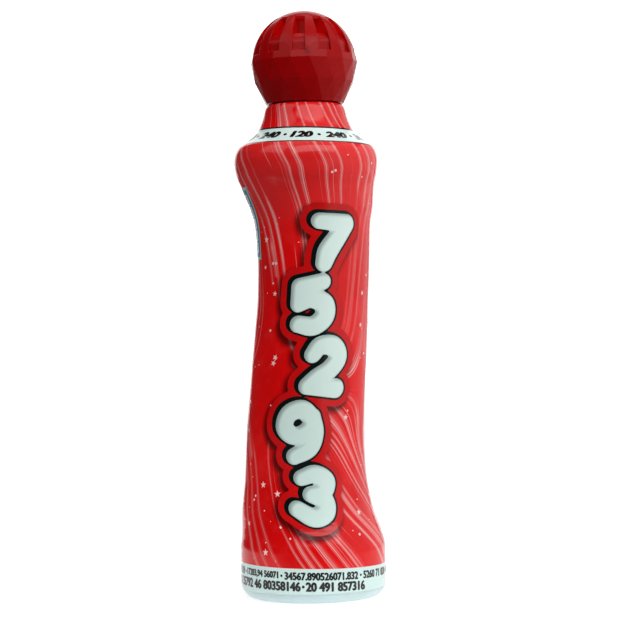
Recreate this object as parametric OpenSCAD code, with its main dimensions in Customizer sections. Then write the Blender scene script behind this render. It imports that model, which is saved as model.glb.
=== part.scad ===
// Bingo dauber: a squeeze bottle of ink with a wound waist, a spring-valved foam
// tip and a ball-shaped screw cap. Millimetres.
// Origin: middle of the standing ring. +Z runs up the bottle, the front is -Y
// and +X is to the right seen from the front.

/* [Bottle] */
// Diameter at the base and at the shoulder, over the film
body_d = 38; // [37.5:0.1:38.5]
// Smallest diameter of the waist, over the film
waist_d = 29.4; // [28.6:0.1:30]
// Diameter of the collar under the cap, over the film
collar_d = 21.2; // [20.9:0.1:21.5]
// How far the waist's centre winds off the axis
wind = 1.6; // [0:0.1:1.8]
// Turn of the winding for each millimetre of height, in degrees
wind_rate = 3.1; // [2.5:0.1:3.5]
// Wall thickness of the bottle
wall = 1.1; // [0.9:0.1:1.3]
// Thickness of the printed film, drawn heavier than the real film
film = 0.2; // [0.15:0.05:0.25]

/* [Neck] */
// Outer diameter of the neck
neck_d = 17; // [16.9:0.1:17.1]
// Bore of the neck
neck_bore_d = 14.8; // [14.6:0.1:14.8]
// Height of the neck's lip above the standing ring
lip_z = 135; // [134.9:0.1:135.1]
// Rise of the two-start thread in one turn
lead = 5; // [4.9:0.1:5.1]

/* [Cap] */
// Diameter of the ball, over its smooth upper half
ball_d = 27.6; // [27.4:0.1:27.8]
// Facets round the ball
facets = 18; // [18:1:18]
// Pockets round the upper half
pockets = 12; // [10:1:12]

/* [Tip] */
// Diameter of the fabric tip
tip_d = 14.2; // [14:0.1:14.3]
// Stroke of the tip and valve
stroke = 1.5; // [1:0.1:1.5]
// Wire thickness of the valve spring
wire_d = 0.5; // [0.4:0.05:0.5]
// Turns in the valve spring, with one closed turn at each end
coils = 6; // [5:1:6]

/* [Hidden] */

body_r = body_d / 2;
waist_r = waist_d / 2;
collar_r = collar_d / 2;
neck_r = neck_d / 2;
bore_r = neck_bore_d / 2;
ball_r = ball_d / 2;
sides = 40;          // sides of the wound body
band_z = 13;         // top of the straight band at the base
shoulder_z = 114.3;  // widest height of the shoulder
collar_z = 129;      // top of the collar
corner = 3.5;        // corner radius at the base
film_z = 3;          // lower edge of the film
stand_in = 12.5;     // inner radius of the standing ring
push_up = 2.2;       // height of the pushed-up base
floor_t = 1.3;

// Height and share of the difference between waist and body radius
waist_shape = [[13, 1], [16, 0.89], [19.5, 0.74], [22.5, 0.61], [26, 0.48], [30.5, 0.33], [38, 0.22], [46, 0.16],
               [54, 0.11], [62, 0.09], [70, 0.05], [78, 0], [86, 0.02], [91, 0.05], [95, 0.09], [98.5, 0.17],
               [101.5, 0.33], [105, 0.52], [108, 0.7], [111, 0.91], [114.3, 1]];
// Height and share of the difference between collar and body radius
shoulder_shape = [[114.3, 1], [116, 0.97], [118, 0.86], [119, 0.7], [120, 0.53], [121.2, 0.37], [122.2, 0.26],
                  [124, 0.15], [126, 0.06], [128, 0], [128.6, -0.03], [129, -0.07]];
ring_z = [for (p = waist_shape) p[0], for (i = [1 : len(shoulder_shape) - 1]) shoulder_shape[i][0]];

flange_t = 1;                     // housing flange on the neck's lip
rim_z = lip_z + flange_t;         // top of the housing
seat_z = 131.4;                   // valve seat
cup_z = 132.9;                    // floor of the carrier's cup
tube_z = 122.3;                   // lower end of the spring chamber
chamber_r = 4.6;
cup_r = 5.9;
port_r = 2.6;
slack = 0.07;                     // running clearance of the carrier
carrier_z = cup_z + stroke + 0.2; // lower face of the carrier
pad_z = rim_z + stroke + 0.1;     // underside of the carrier's plate
plate_t = 0.8;
cloth = 0.5;
cover_r = tip_d / 2;
foam_r = cover_r - cloth;
dome_z = 140;                     // where the tip starts to round over
dome_h = 5;                       // height of the fabric's dome
ring_t = 0.6;

ball_z = 140.3;                   // centre of the ball
mid_r = 14.1;                     // facet corners at the widest level
low_r = 13.08;                    // facet corners below it
rim_r = 10.4;                     // lower edge of the cap
rim0_z = 129.7;
band_b_z = 135.1;
band_u_z = 144.4;
thread_r = 9.35;                  // root of the cap's thread
well_r = 8.6;                     // inside of the cap round the tip
well_z = 145.7;
seal_z = rim_z;
seal_t = 1;
core_r = 12.8;                    // back wall of the pockets, at its foot
pocket_z = 142.1;                 // lower edge of the pockets
floor_z = 146.8;                  // top of the back wall
crown_r = 7.7;
crown_z = 150.9;                  // underside of the crown
hub_r = 2.2;
turn0 = 5.6;                      // where the first facet corner lies
pocket0 = -5.8;

function smooth(t) = let (u = min(1, max(0, t))) u * u * (3 - 2 * u);
function body_radius(z) = z <= band_z ? body_r
    : z <= shoulder_z ? waist_r + (body_r - waist_r) * lookup(z, waist_shape)
    : collar_r + (body_r - collar_r) * lookup(z, shoulder_shape);
function centre(z) = let (a = wind * smooth((z - 13) / 11) * smooth((112.5 - z) / 12), t = (92 - z) * wind_rate)
    [a * cos(t), -a * sin(t)];
function ring(z, r) = let (c = centre(z))
    [for (i = [0 : sides - 1]) [c[0] + r * cos(360 * i / sides), c[1] + r * sin(360 * i / sides), z]];
function flat(list) = [for (a = list) for (b = a) b];

// Closed solid through a stack of rings with the same number of points, lowest first
module stack(rings) {
    n = len(rings[0]);
    m = len(rings);
    polyhedron(points = flat(rings), faces = concat(
        [[for (i = [0 : n - 1]) i]],
        [for (j = [0 : m - 2]) for (i = [0 : n - 1]) [j * n + i, (j + 1) * n + i, j * n + (i + 1) % n]],
        [for (j = [0 : m - 2]) for (i = [0 : n - 1]) [j * n + (i + 1) % n, (j + 1) * n + i, (j + 1) * n + (i + 1) % n]],
        [[for (i = [n - 1 : -1 : 0]) (m - 1) * n + i]]));
}

// Tube with an open middle: outer rings from the bottom up, and the inner rings beside them
module sleeve_stack(outer, inner) {
    n = len(outer[0]);
    m = len(outer);
    o = m * n;
    polyhedron(points = concat(flat(outer), flat(inner)), faces = concat(
        [for (j = [0 : m - 2]) for (i = [0 : n - 1]) [j * n + i, (j + 1) * n + i, j * n + (i + 1) % n]],
        [for (j = [0 : m - 2]) for (i = [0 : n - 1]) [j * n + (i + 1) % n, (j + 1) * n + i, (j + 1) * n + (i + 1) % n]],
        [for (j = [0 : m - 2]) for (i = [0 : n - 1]) [o + j * n + (i + 1) % n, o + (j + 1) * n + i, o + j * n + i]],
        [for (j = [0 : m - 2]) for (i = [0 : n - 1])
            [o + (j + 1) * n + (i + 1) % n, o + (j + 1) * n + i, o + j * n + (i + 1) % n]],
        [for (i = [0 : n - 1]) [i, (i + 1) % n, o + (i + 1) % n, o + i]],
        [for (i = [0 : n - 1]) [o - n + (i + 1) % n, o - n + i, 2 * o - n + i, 2 * o - n + (i + 1) % n]]));
}

// Rod of a given profile radius swept along points, with closed ends
module coil(path, r, k) {
    n = len(path);
    rings = [for (i = [0 : n - 1])
        let (a = path[max(0, i - 1)], b = path[min(n - 1, i + 1)], d = (b - a) / norm(b - a),
             u = cross(d, [0, 0, 1]) / norm(cross(d, [0, 0, 1])), v = cross(u, d))
        [for (j = [0 : k - 1]) path[i] + r * (cos(360 * j / k) * u + sin(360 * j / k) * v)]];
    polyhedron(points = flat(rings), faces = concat(
        [[for (j = [k - 1 : -1 : 0]) j]],
        [for (i = [0 : n - 2]) for (j = [0 : k - 1]) [i * k + j, i * k + (j + 1) % k, (i + 1) * k + j]],
        [for (i = [0 : n - 2]) for (j = [0 : k - 1])
            [i * k + (j + 1) % k, (i + 1) * k + (j + 1) % k, (i + 1) * k + j]],
        [[for (j = [0 : k - 1]) (n - 1) * k + j]]));
}

// One start of a screw thread: a trapezoid between the radii root and crest, swept up a helix from z0 and fading
// into the root at both ends
module thread_start(root, crest, z0, from, turns, width) {
    n = round(24 * turns);
    out = crest > root ? 1 : -1;
    rings = [for (i = [0 : n])
        let (t = i / n, fade = min(1, 6 * t + 0.05, 6 * (1 - t) + 0.05), c = root + (crest - root) * fade,
             b = root - out * 0.25, a = from + 360 * turns * t, z = z0 + lead * turns * t, w = width / 2, s = w * 0.62)
        [for (p = [[b, -w - 0.1], [c, -s], [c, s], [b, w + 0.1]]) [p[0] * cos(a), p[0] * sin(a), z + p[1]]]];
    k = 4;
    side = [for (i = [0 : n - 1]) for (j = [0 : k - 1]) [i * k + j, i * k + (j + 1) % k, (i + 1) * k + (j + 1) % k]];
    side2 = [for (i = [0 : n - 1]) for (j = [0 : k - 1]) [i * k + j, (i + 1) * k + (j + 1) % k, (i + 1) * k + j]];
    ends = [[3, 2, 1, 0], [n * k, n * k + 1, n * k + 2, n * k + 3]];
    all = concat(side, side2, ends);
    polyhedron(points = flat(rings), faces = out > 0 ? all : [for (f = all) [for (i = [len(f) - 1 : -1 : 0]) f[i]]]);
}

// Outside of the bottle, drawn in by a distance from the film's surface
module body_solid(in) {
    r = corner - in;
    rotate_extrude($fn = 96) polygon(concat([[0, 0], [body_r - corner, 0]],
        [for (a = [-75 : 15 : 0]) [body_r - corner + r * cos(a), r + r * sin(a)]],
        [[body_r - in, band_z], [0, band_z]]));
    stack(concat([ring(band_z - 0.6, body_r - in - 0.08)],
        [ring(band_z, body_r - in - 0.08)],
        [for (i = [1 : len(ring_z) - 1]) ring(ring_z[i], body_radius(ring_z[i]) - in)]));
}

// Inside of the bottle, drawn in by a distance from the film's surface
module cavity(in, floor_gap, to_z) {
    zs = [for (z = ring_z) if (z > 8 && z < to_z - 0.3) z];
    b = floor_gap - 0.1;
    difference() {
        stack(concat([ring(b, body_r - in - 2.4), ring(b + 0.7, body_r - in - 0.6), ring(b + 2.2, body_r - in)],
            [for (z = zs) ring(z, body_radius(z) - in)], [ring(to_z, body_radius(to_z) - in)]));
        base_dome(floor_gap);
    }
}

// Sphere whose top pushes the base up, grown by a distance
module base_dome(grow) {
    r = (stand_in * stand_in + push_up * push_up) / (2 * push_up);
    translate([0, 0, push_up - r]) sphere(r = r + grow, $fn = 96);
}

module bottle() {
    color([0.86, 0.91, 0.94])
    difference() {
        union() {
            body_solid(film);
            translate([0, 0, 128]) cylinder(h = lip_z - 128, r = neck_r, $fn = 96);
            for (s = [0, 180]) thread_start(neck_r, neck_r + 0.65, 130.7, s, 0.68, 1.1);
        }
        cavity(film + wall, floor_t, 127.6);
        translate([0, 0, 127]) cylinder(h = lip_z - 126, r = bore_r, $fn = 96);
        base_dome(0);
    }
}

module shrink_sleeve() {
    color([0.78, 0.05, 0.07]) {
        rotate_extrude($fn = 96) polygon(concat(
            [for (a = [-15 : 15 : 0]) [body_r - corner + corner * cos(a), corner + corner * sin(a)]],
            [[body_r, band_z], [body_r - film, band_z]],
            [for (a = [0 : -15 : -15])
                [body_r - corner + (corner - film) * cos(a), corner - film + (corner - film) * sin(a)]]));
        sleeve_stack(
            concat([ring(band_z - 0.6, body_r - 0.08)], [ring(band_z, body_r - 0.08)],
                [for (i = [1 : len(ring_z) - 1]) ring(ring_z[i], body_radius(ring_z[i]))]),
            concat([ring(band_z - 0.6, body_r - film - 0.08)], [ring(band_z, body_r - film - 0.08)],
                [for (i = [1 : len(ring_z) - 1]) ring(ring_z[i], body_radius(ring_z[i]) - film)]));
    }
}

module ink_fill() {
    color([0.5, 0.01, 0.03]) cavity(film + wall + 0.3, floor_t + 0.3, 111);
}

module valve_housing() {
    color([0.93, 0.93, 0.9])
    difference() {
        union() {
            translate([0, 0, lip_z]) cylinder(h = flange_t, r = neck_r, $fn = 96);
            translate([0, 0, 128.6]) cylinder(h = lip_z - 128.6, r = bore_r, $fn = 96);
            translate([0, 0, 128]) cylinder(h = 0.6, r1 = bore_r - 0.5, r2 = bore_r, $fn = 96);
            translate([0, 0, tube_z]) cylinder(h = 128 - tube_z, r = chamber_r + 1.4, $fn = 96);
        }
        translate([0, 0, tube_z - 1]) cylinder(h = seat_z - tube_z + 1, r = chamber_r, $fn = 96);
        translate([0, 0, seat_z - 1]) cylinder(h = 4, r = port_r, $fn = 96);
        translate([0, 0, cup_z]) cylinder(h = 6, r = cup_r, $fn = 96);
    }
}

module spring_cage() {
    color([0.93, 0.93, 0.9])
    difference() {
        union() {
            translate([0, 0, tube_z - 1]) cylinder(h = 1, r = chamber_r + 1.4, $fn = 96);
            translate([0, 0, tube_z]) cylinder(h = 2.6, r = chamber_r, $fn = 96);
        }
        translate([0, 0, tube_z + 0.2]) cylinder(h = 4, r = chamber_r - 0.6, $fn = 96);
        for (a = [45 : 90 : 315]) rotate(a) translate([2.5, 0, tube_z - 2]) cylinder(h = 4, r = 0.9, $fn = 32);
        translate([0, 0, tube_z - 2]) cylinder(h = 4, r = 0.9, $fn = 32);
    }
}

module valve_spring() {
    low = tube_z + 0.2 + wire_d / 2 + 0.02;
    high = seat_z - 1.6 - wire_d / 2 - 0.02;
    closed = wire_d * 1.06;
    mid = (high - low - 2 * closed) / (coils - 2);
    n = 14 * coils;
    color([0.75, 0.76, 0.78])
    coil([for (i = [0 : n]) let (t = i / 14,
            z = t < 1 ? low + closed * t : t > coils - 1 ? high - closed * (coils - t) : low + closed + mid * (t - 1))
        [3.4 * cos(360 * t), 3.4 * sin(360 * t), z]], wire_d / 2, 8);
}

module valve_stem() {
    color([0.95, 0.95, 0.95]) {
        translate([0, 0, seat_z - 1.6]) cylinder(h = 1.6, r = 3.9, $fn = 64);
        translate([0, 0, seat_z - 2.8]) cylinder(h = 1.3, r = 2.8, $fn = 64);
        translate([0, 0, seat_z - 0.1]) cylinder(h = pad_z - 0.4 - seat_z + 0.1, r = 1.3, $fn = 48);
    }
}

module pad_carrier() {
    color([0.93, 0.93, 0.9])
    difference() {
        union() {
            translate([0, 0, carrier_z]) cylinder(h = pad_z - carrier_z + 0.1, r = cup_r - slack, $fn = 96);
            translate([0, 0, pad_z]) cylinder(h = plate_t, r = foam_r, $fn = 96);
        }
        translate([0, 0, carrier_z - 1]) cylinder(h = pad_z - 0.4 - carrier_z + 1, r = 1.3, $fn = 48);
        for (a = [0 : 60 : 300]) rotate(a) translate([3.9, 0, carrier_z - 1]) cylinder(h = 6, r = 1, $fn = 32);
    }
}

// Outline of a dome from its straight skirt to the apex
function dome(r, h) = [for (a = [0 : 9 : 90]) [a == 90 ? 0 : r * cos(a), dome_z + h * sin(a)]];

module tip_foam() {
    color([0.95, 0.93, 0.85])
    rotate_extrude($fn = 96) polygon(concat([[0, pad_z + plate_t], [foam_r - 0.05, pad_z + plate_t]],
        dome(foam_r - 0.05, dome_h - cloth - 0.05)));
}

module tip_cover() {
    color([0.72, 0.06, 0.1])
    rotate_extrude($fn = 96) polygon(concat([[foam_r, pad_z], [cover_r, pad_z]], dome(cover_r, dome_h),
        [for (i = [10 : -1 : 0]) dome(foam_r, dome_h - cloth)[i]]));
}

module clamp_ring() {
    color([0.93, 0.93, 0.9])
    rotate_extrude($fn = 96) polygon([[cover_r, pad_z], [cover_r + ring_t, pad_z], [cover_r + ring_t, pad_z + 1.7],
        [cover_r + ring_t - 0.3, pad_z + 2], [cover_r, pad_z + 2]]);
}

module cap_seal() {
    color([0.95, 0.95, 0.95])
    translate([0, 0, seal_z]) difference() {
        cylinder(h = seal_t, r = thread_r - 0.15, $fn = 96);
        translate([0, 0, -1]) cylinder(h = 4, r = 7.95, $fn = 96);
    }
}

// One level of facet corners round the ball
function corners(z, r, a0) = [for (i = [0 : facets - 1]) let (a = a0 + 360 * i / facets) [r * cos(a), r * sin(a), z]];

module ball_outside() {
    half = 180 / facets;
    u = sqrt(ball_r * ball_r - pow(band_u_z - ball_z, 2));
    m = mid_r * cos(half);
    // the upper facets run on above the ball, and fade out into it
    top_z = ball_z + ball_r + 0.5;
    top_r = (m + (u - m) * (top_z - ball_z) / (band_u_z - ball_z)) / cos(half);
    intersection() {
        union() {
            translate([0, 0, ball_z]) sphere(r = ball_r, $fn = 96);
            translate([0, 0, rim0_z]) cylinder(h = ball_z - rim0_z, r = mid_r + 0.5, $fn = 96);
            translate([0, 0, ball_z - 0.01]) cylinder(h = 3.01, r1 = mid_r + 0.5, r2 = 13.46, $fn = 96);
        }
        // corner angles are counted from the front, -Y, towards +X
        stack([corners(rim0_z, rim_r, turn0 - 90), corners(band_b_z, low_r, turn0 - 90 + half),
               corners(ball_z, mid_r, turn0 - 90 + 2 * half), corners(top_z, top_r, turn0 - 90 + 2 * half)]);
    }
}

module pocket_core() {
    // back wall with a rounded shoulder, and the floor behind it
    rotate_extrude($fn = 96) polygon([[0, 136], [core_r, 136], [core_r, pocket_z + 0.2], [core_r - 0.3, floor_z - 2.2],
        [core_r - 0.5, floor_z - 1.6], [core_r - 0.9, floor_z - 1], [core_r - 1.6, floor_z - 0.5],
        [core_r - 2.3, floor_z - 0.05], [core_r - 2.6, floor_z], [core_r - 3, floor_z - 0.3], [0, floor_z - 0.1]]);
    translate([0, 0, 140]) cylinder(h = crown_z - 139.4, r = hub_r, $fn = 64);
    intersection() {
        translate([0, 0, ball_z]) sphere(r = ball_r, $fn = 96);
        translate([0, 0, crown_z]) cylinder(h = 10, r = crown_r, $fn = 96);
    }
}

module cap() {
    color([0.62, 0.04, 0.06])
    union() {
        difference() {
            union() {
                difference() {
                    ball_outside();
                    for (i = [0 : pockets - 1]) rotate(pocket0 - 90 + 360 * i / pockets) translate([0, 0, pocket_z])
                        linear_extrude(height = 20) polygon([[2, -0.65], [16, -1.94], [16, 1.94], [2, 0.65]]);
                }
                pocket_core();
            }
            translate([0, 0, rim0_z - 1]) cylinder(h = seal_z + seal_t - rim0_z + 1, r = thread_r, $fn = 96);
            rotate_extrude($fn = 96) polygon([[0, 136], [well_r, 136], [well_r, well_z - 1.1],
                [well_r - 0.5, well_z - 0.6], [4, well_z - 0.1], [0, well_z]]);
        }
        for (s = [0, 180]) thread_start(thread_r, thread_r - 0.65, 130.5, s + 57.6, 0.74, 1.1);
    }
}

bottle();
shrink_sleeve();
ink_fill();
valve_housing();
spring_cage();
valve_spring();
valve_stem();
pad_carrier();
tip_foam();
tip_cover();
clamp_ring();
cap_seal();
cap();
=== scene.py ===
"""Looks of a bingo dauber: a red printed squeeze bottle with a wound waist and a ball-shaped screw cap."""

import math
import random

import bmesh
import bpy
import numpy as np
from mathutils import Matrix, Vector, geometry

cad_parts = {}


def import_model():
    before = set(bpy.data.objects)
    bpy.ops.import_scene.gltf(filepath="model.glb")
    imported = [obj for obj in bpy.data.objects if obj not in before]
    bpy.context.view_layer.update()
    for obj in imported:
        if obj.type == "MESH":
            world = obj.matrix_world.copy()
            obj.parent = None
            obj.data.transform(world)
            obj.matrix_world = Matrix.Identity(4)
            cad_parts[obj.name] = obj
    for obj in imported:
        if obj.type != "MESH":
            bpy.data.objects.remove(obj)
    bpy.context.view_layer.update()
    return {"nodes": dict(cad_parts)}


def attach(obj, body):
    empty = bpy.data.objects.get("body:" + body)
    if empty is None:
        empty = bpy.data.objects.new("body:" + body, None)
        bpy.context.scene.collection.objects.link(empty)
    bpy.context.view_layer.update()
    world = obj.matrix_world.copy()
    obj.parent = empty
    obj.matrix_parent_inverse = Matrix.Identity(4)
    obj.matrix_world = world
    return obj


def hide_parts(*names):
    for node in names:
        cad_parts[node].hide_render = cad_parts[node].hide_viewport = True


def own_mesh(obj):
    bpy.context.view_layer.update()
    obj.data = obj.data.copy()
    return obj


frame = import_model()
random.seed(41)
rng = np.random.default_rng(41)
MM = 0.001

# ---------------------------------------------------------------- shape of the bottle, in millimetres
BODY_R, WAIST_R, COLLAR_R = 19.0, 14.7, 10.6
WIND, WIND_RATE = 1.6, 3.1
CORNER, BAND_Z, SHOULDER_Z, COLLAR_Z = 3.5, 13.0, 114.3, 129.0
WAIST = [(13, 1), (16, 0.89), (19.5, 0.74), (22.5, 0.61), (26, 0.48), (30.5, 0.33), (38, 0.22), (46, 0.16), (54, 0.11),
         (62, 0.09), (70, 0.05), (78, 0), (86, 0.02), (91, 0.05), (95, 0.09), (98.5, 0.17), (101.5, 0.33), (105, 0.52),
         (108, 0.7), (111, 0.91), (114.3, 1)]
SHOULDER = [(114.3, 1), (116, 0.97), (118, 0.86), (119, 0.7), (120, 0.53), (121.2, 0.37), (122.2, 0.26), (124, 0.15),
            (126, 0.06), (128, 0), (128.6, -0.03), (129, -0.07)]


def monotone(points):
    """Smooth curve through points that never overshoots them."""
    x, y = np.array(points, float).T
    h, d = np.diff(x), np.diff(y) / np.diff(x)
    m = np.zeros(len(x))
    for i in range(1, len(x) - 1):
        if d[i - 1] * d[i] > 0:
            w1, w2 = 2 * h[i] + h[i - 1], h[i] + 2 * h[i - 1]
            m[i] = (w1 + w2) / (w1 / d[i - 1] + w2 / d[i])

    def f(at):
        at = np.clip(np.asarray(at, float), x[0], x[-1])
        i = np.clip(np.searchsorted(x, at) - 1, 0, len(h) - 1)
        t = (at - x[i]) / h[i]
        return ((1 + 2 * t) * (1 - t) ** 2 * y[i] + t * (1 - t) ** 2 * h[i] * m[i]
                + t * t * (3 - 2 * t) * y[i + 1] + t * t * (t - 1) * h[i] * m[i + 1])

    return f


waist_f, shoulder_f = monotone(WAIST), monotone(SHOULDER)


def smooth(t):
    t = np.clip(t, 0, 1)
    return t * t * (3 - 2 * t)


def radius(z):
    z = np.asarray(z, float)
    low = BODY_R - CORNER + np.sqrt(np.maximum(CORNER ** 2 - (CORNER - np.clip(z, 0, CORNER)) ** 2, 0))
    mid = WAIST_R + (BODY_R - WAIST_R) * waist_f(z)
    top = COLLAR_R + (BODY_R - COLLAR_R) * shoulder_f(z)
    return np.where(z < BAND_Z, low, np.where(z < SHOULDER_Z, mid, top))


def centre(z):
    a = WIND * smooth((z - 13) / 11) * smooth((112.5 - z) / 12)
    t = np.radians((92 - z) * WIND_RATE)
    return a * np.cos(t), -a * np.sin(t)


FILM_LOW = CORNER - CORNER * math.sin(math.radians(15))
_z = np.linspace(FILM_LOW, COLLAR_Z, 12000)
_r = radius(_z)
_t = np.concatenate([[0], np.cumsum(np.hypot(np.diff(_z), np.diff(_r)))])
T_END = float(_t[-1])


def t_of(z):
    return np.interp(z, _z, _t)


def z_of(t):
    return np.interp(t, _t, _z)


def at(th, t):
    """Point of the film's surface. th is counted from the front towards +X, t along the outline from the lower edge."""
    z = z_of(t)
    r, (cx, cy) = radius(z), centre(z)
    return np.stack([cx + r * np.sin(th), cy - r * np.cos(th), z], -1)


def surface(th, t, lift=0.0):
    th, t = np.broadcast_arrays(np.asarray(th, float), np.asarray(t, float))
    p = at(th, t)
    e = 0.05
    dt = at(th, np.minimum(t + e, T_END)) - at(th, np.maximum(t - e, 0))
    dh = at(th + 0.005, t) - at(th - 0.005, t)
    n = np.cross(dh, dt)
    n /= np.linalg.norm(n, axis=-1, keepdims=True)
    return p + n * np.asarray(lift)[..., None]


# ---------------------------------------------------------------- materials
def lin(r, g, b):
    """Linear colour from the 0 to 255 values seen on a screen."""
    def f(c):
        c /= 255
        return c / 12.92 if c <= 0.04045 else ((c + 0.055) / 1.055) ** 2.4
    return (f(r), f(g), f(b), 1.0)


class S:
    """A socket that takes part in arithmetic."""

    def __init__(self, g, socket):
        self.g, self.s = g, socket

    def __add__(self, o):
        return self.g.math("ADD", self, o)

    def __sub__(self, o):
        return self.g.math("SUBTRACT", self, o)

    def __rsub__(self, o):
        return self.g.math("SUBTRACT", o, self)

    def __mul__(self, o):
        return self.g.math("MULTIPLY", self, o)

    __radd__, __rmul__ = __add__, __mul__

    def __truediv__(self, o):
        return self.g.math("DIVIDE", self, o)


class G:
    """Small builder for a material's node tree."""

    def __init__(self, name, **base):
        self.mat = bpy.data.materials.new(name)
        self.mat.use_nodes = True
        self.t = self.mat.node_tree
        self.bsdf = self.t.nodes["Principled BSDF"]
        for k, v in base.items():
            self.put(self.bsdf, k.replace("_", " "), v)

    def put(self, node, name, v):
        s = node.inputs[name]
        if isinstance(v, S):
            self.t.links.new(v.s, s)
        else:
            s.default_value = v

    def node(self, kind, out=0, inputs=None, **props):
        n = self.t.nodes.new(kind)
        for k, v in props.items():
            setattr(n, k, v)
        for k, v in (inputs or {}).items():
            self.put(n, k, v)
        return S(self, n.outputs[out])

    def math(self, op, *args):
        return self.node("ShaderNodeMath", inputs=dict(enumerate(args)), operation=op)

    def step(self, x, a, b):
        """0 below a, 1 above b, smooth between; a may be above b."""
        if a > b:
            return 1 - self.step(x, b, a)
        return self.node("ShaderNodeMapRange", interpolation_type="SMOOTHSTEP",
                         inputs={"Value": x, "From Min": a, "From Max": b})

    def mix(self, f, a, b):
        n = self.t.nodes.new("ShaderNodeMix")
        n.data_type = "RGBA"
        for i, v in ((0, f), (6, a), (7, b)):
            self.put(n, i, v)
        return S(self, n.outputs[2])

    def attr(self, name, out="Fac"):
        n = self.t.nodes.new("ShaderNodeAttribute")
        n.attribute_name = name
        return S(self, n.outputs[out])

    def xyz(self, v):
        n = self.t.nodes.new("ShaderNodeSeparateXYZ")
        self.put(n, 0, v)
        return [S(self, o) for o in n.outputs]

    def join(self, x, y, z=0.0):
        return self.node("ShaderNodeCombineXYZ", inputs={0: x, 1: y, 2: z})

    def noise(self, v, scale, detail=2.0, rough=0.5, out="Fac"):
        n = self.t.nodes.new("ShaderNodeTexNoise")
        self.put(n, "Vector", v)
        for k, x in (("Scale", scale), ("Detail", detail), ("Roughness", rough)):
            n.inputs[k].default_value = x
        return S(self, n.outputs[out])

    def here(self):
        """Object coordinates in millimetres."""
        return self.node("ShaderNodeVectorMath", operation="SCALE",
                         inputs={0: self.node("ShaderNodeTexCoord", out="Object"), "Scale": 1000.0})

    def bump(self, height, distance, strength=1.0, normal=None):
        ins = {"Height": height, "Distance": distance, "Strength": strength}
        if normal is not None:
            ins["Normal"] = normal
        return self.node("ShaderNodeBump", inputs=ins)

    def set(self, **ins):
        for k, v in ins.items():
            self.put(self.bsdf, k.replace("_", " "), v)
        return self.mat


def plain(name, colour, rough=0.4, **more):
    g = G(name, Base_Color=colour, Roughness=rough, **more)
    return g.mat


# ---------------------------------------------------------------- meshes
def obj(name, verts, faces, material, body, smooth_shade=True, scale=MM):
    me = bpy.data.meshes.new(name)
    me.from_pydata((np.asarray(verts, float) * scale).tolist(), [], [list(f) for f in faces])
    me.update()
    ob = bpy.data.objects.new(name, me)
    bpy.context.scene.collection.objects.link(ob)
    if material is not None:
        me.materials.append(material)
    if smooth_shade:
        me.polygons.foreach_set("use_smooth", [True] * len(me.polygons))
    if body:
        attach(ob, body)
    return ob


def lathe(profile, n=128, closed=False, a0=0.0):
    """Vertices and faces of a profile of (r, z) turned round Z. Points on the axis become one vertex.
    The profile runs so that its right-hand side is outside, which is upwards for an outer wall."""
    verts, rows = [], []
    for r, z in profile:
        if abs(r) < 1e-6:
            rows.append([len(verts)])
            verts.append((0, 0, z))
        else:
            rows.append(list(range(len(verts), len(verts) + n)))
            verts += [(r * math.cos(a0 + 2 * math.pi * i / n), r * math.sin(a0 + 2 * math.pi * i / n), z) for i in range(n)]
    faces = []
    pairs = list(zip(rows, rows[1:])) + ([(rows[-1], rows[0])] if closed else [])
    for lo, hi in pairs:
        for i in range(n):
            j = (i + 1) % n
            if len(lo) == 1 and len(hi) == 1:
                continue
            if len(lo) == 1:
                faces.append((lo[0], hi[j], hi[i]))
            elif len(hi) == 1:
                faces.append((lo[i], lo[j], hi[0]))
            else:
                faces.append((lo[i], lo[j], hi[j], hi[i]))
    return verts, faces


def sharp(ob, degrees):
    ob.data.set_sharp_from_angle(angle=math.radians(degrees))


def rounded(points, r=0.3, steps=4, closed=True):
    """Rounds the corners of a profile."""
    out, n = [], len(points)
    for i, p in enumerate(points):
        if not closed and i in (0, n - 1):
            out.append(tuple(p))
            continue
        a, b, c = Vector(points[i - 1]), Vector(p), Vector(points[(i + 1) % n])
        la, lc = (a - b).length, (c - b).length
        k = min(r, la * 0.45, lc * 0.45)
        s, e = b + (a - b).normalized() * k, b + (c - b).normalized() * k
        if abs((a - b).angle(c - b, 0) - math.pi) < 0.15:
            out.append(tuple(p))
            continue
        for j in range(steps + 1):
            t = j / steps
            q = s * (1 - t) ** 2 + b * (2 * t * (1 - t)) + e * t * t
            out.append((q[0], q[1]))
    return out


def ridge(root, crest, z0, start, turns, width, lead=5.0, per_turn=96):
    """One start of a screw thread with rounded edges and faded ends."""
    n = round(per_turn * turns)
    out = 1 if crest > root else -1
    verts, faces, k = [], [], 8
    for i in range(n + 1):
        t = i / n
        fade = float(smooth(min(1, 7 * t, 7 * (1 - t)))) * 0.97 + 0.03
        a, z, w = math.radians(start + 360 * turns * t), z0 + lead * turns * t, width / 2
        hgt = (crest - root) * fade
        for px, pz in ((-out * 0.2, -w - 0.12), (0.02 * out, -w), (hgt * 0.7, -w * 0.72), (hgt, -w * 0.45),
                       (hgt, w * 0.45), (hgt * 0.7, w * 0.72), (0.02 * out, w), (-out * 0.2, w + 0.12)):
            verts.append(((root + px) * math.cos(a), (root + px) * math.sin(a), z + pz))
    for i in range(n):
        for j in range(k):
            f = (i * k + j, (i + 1) * k + j, (i + 1) * k + (j + 1) % k, i * k + (j + 1) % k)
            faces.append(f if out > 0 else f[::-1])
    ends = [tuple(range(k)), tuple(range(n * k + k - 1, n * k - 1, -1))]
    faces += ends if out > 0 else [e[::-1] for e in ends]
    return verts, faces


def merge(*parts):
    verts, faces = [], []
    for v, f in parts:
        o = len(verts)
        verts += list(v)
        faces += [tuple(o + i for i in x) for x in f]
    return verts, faces


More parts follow.
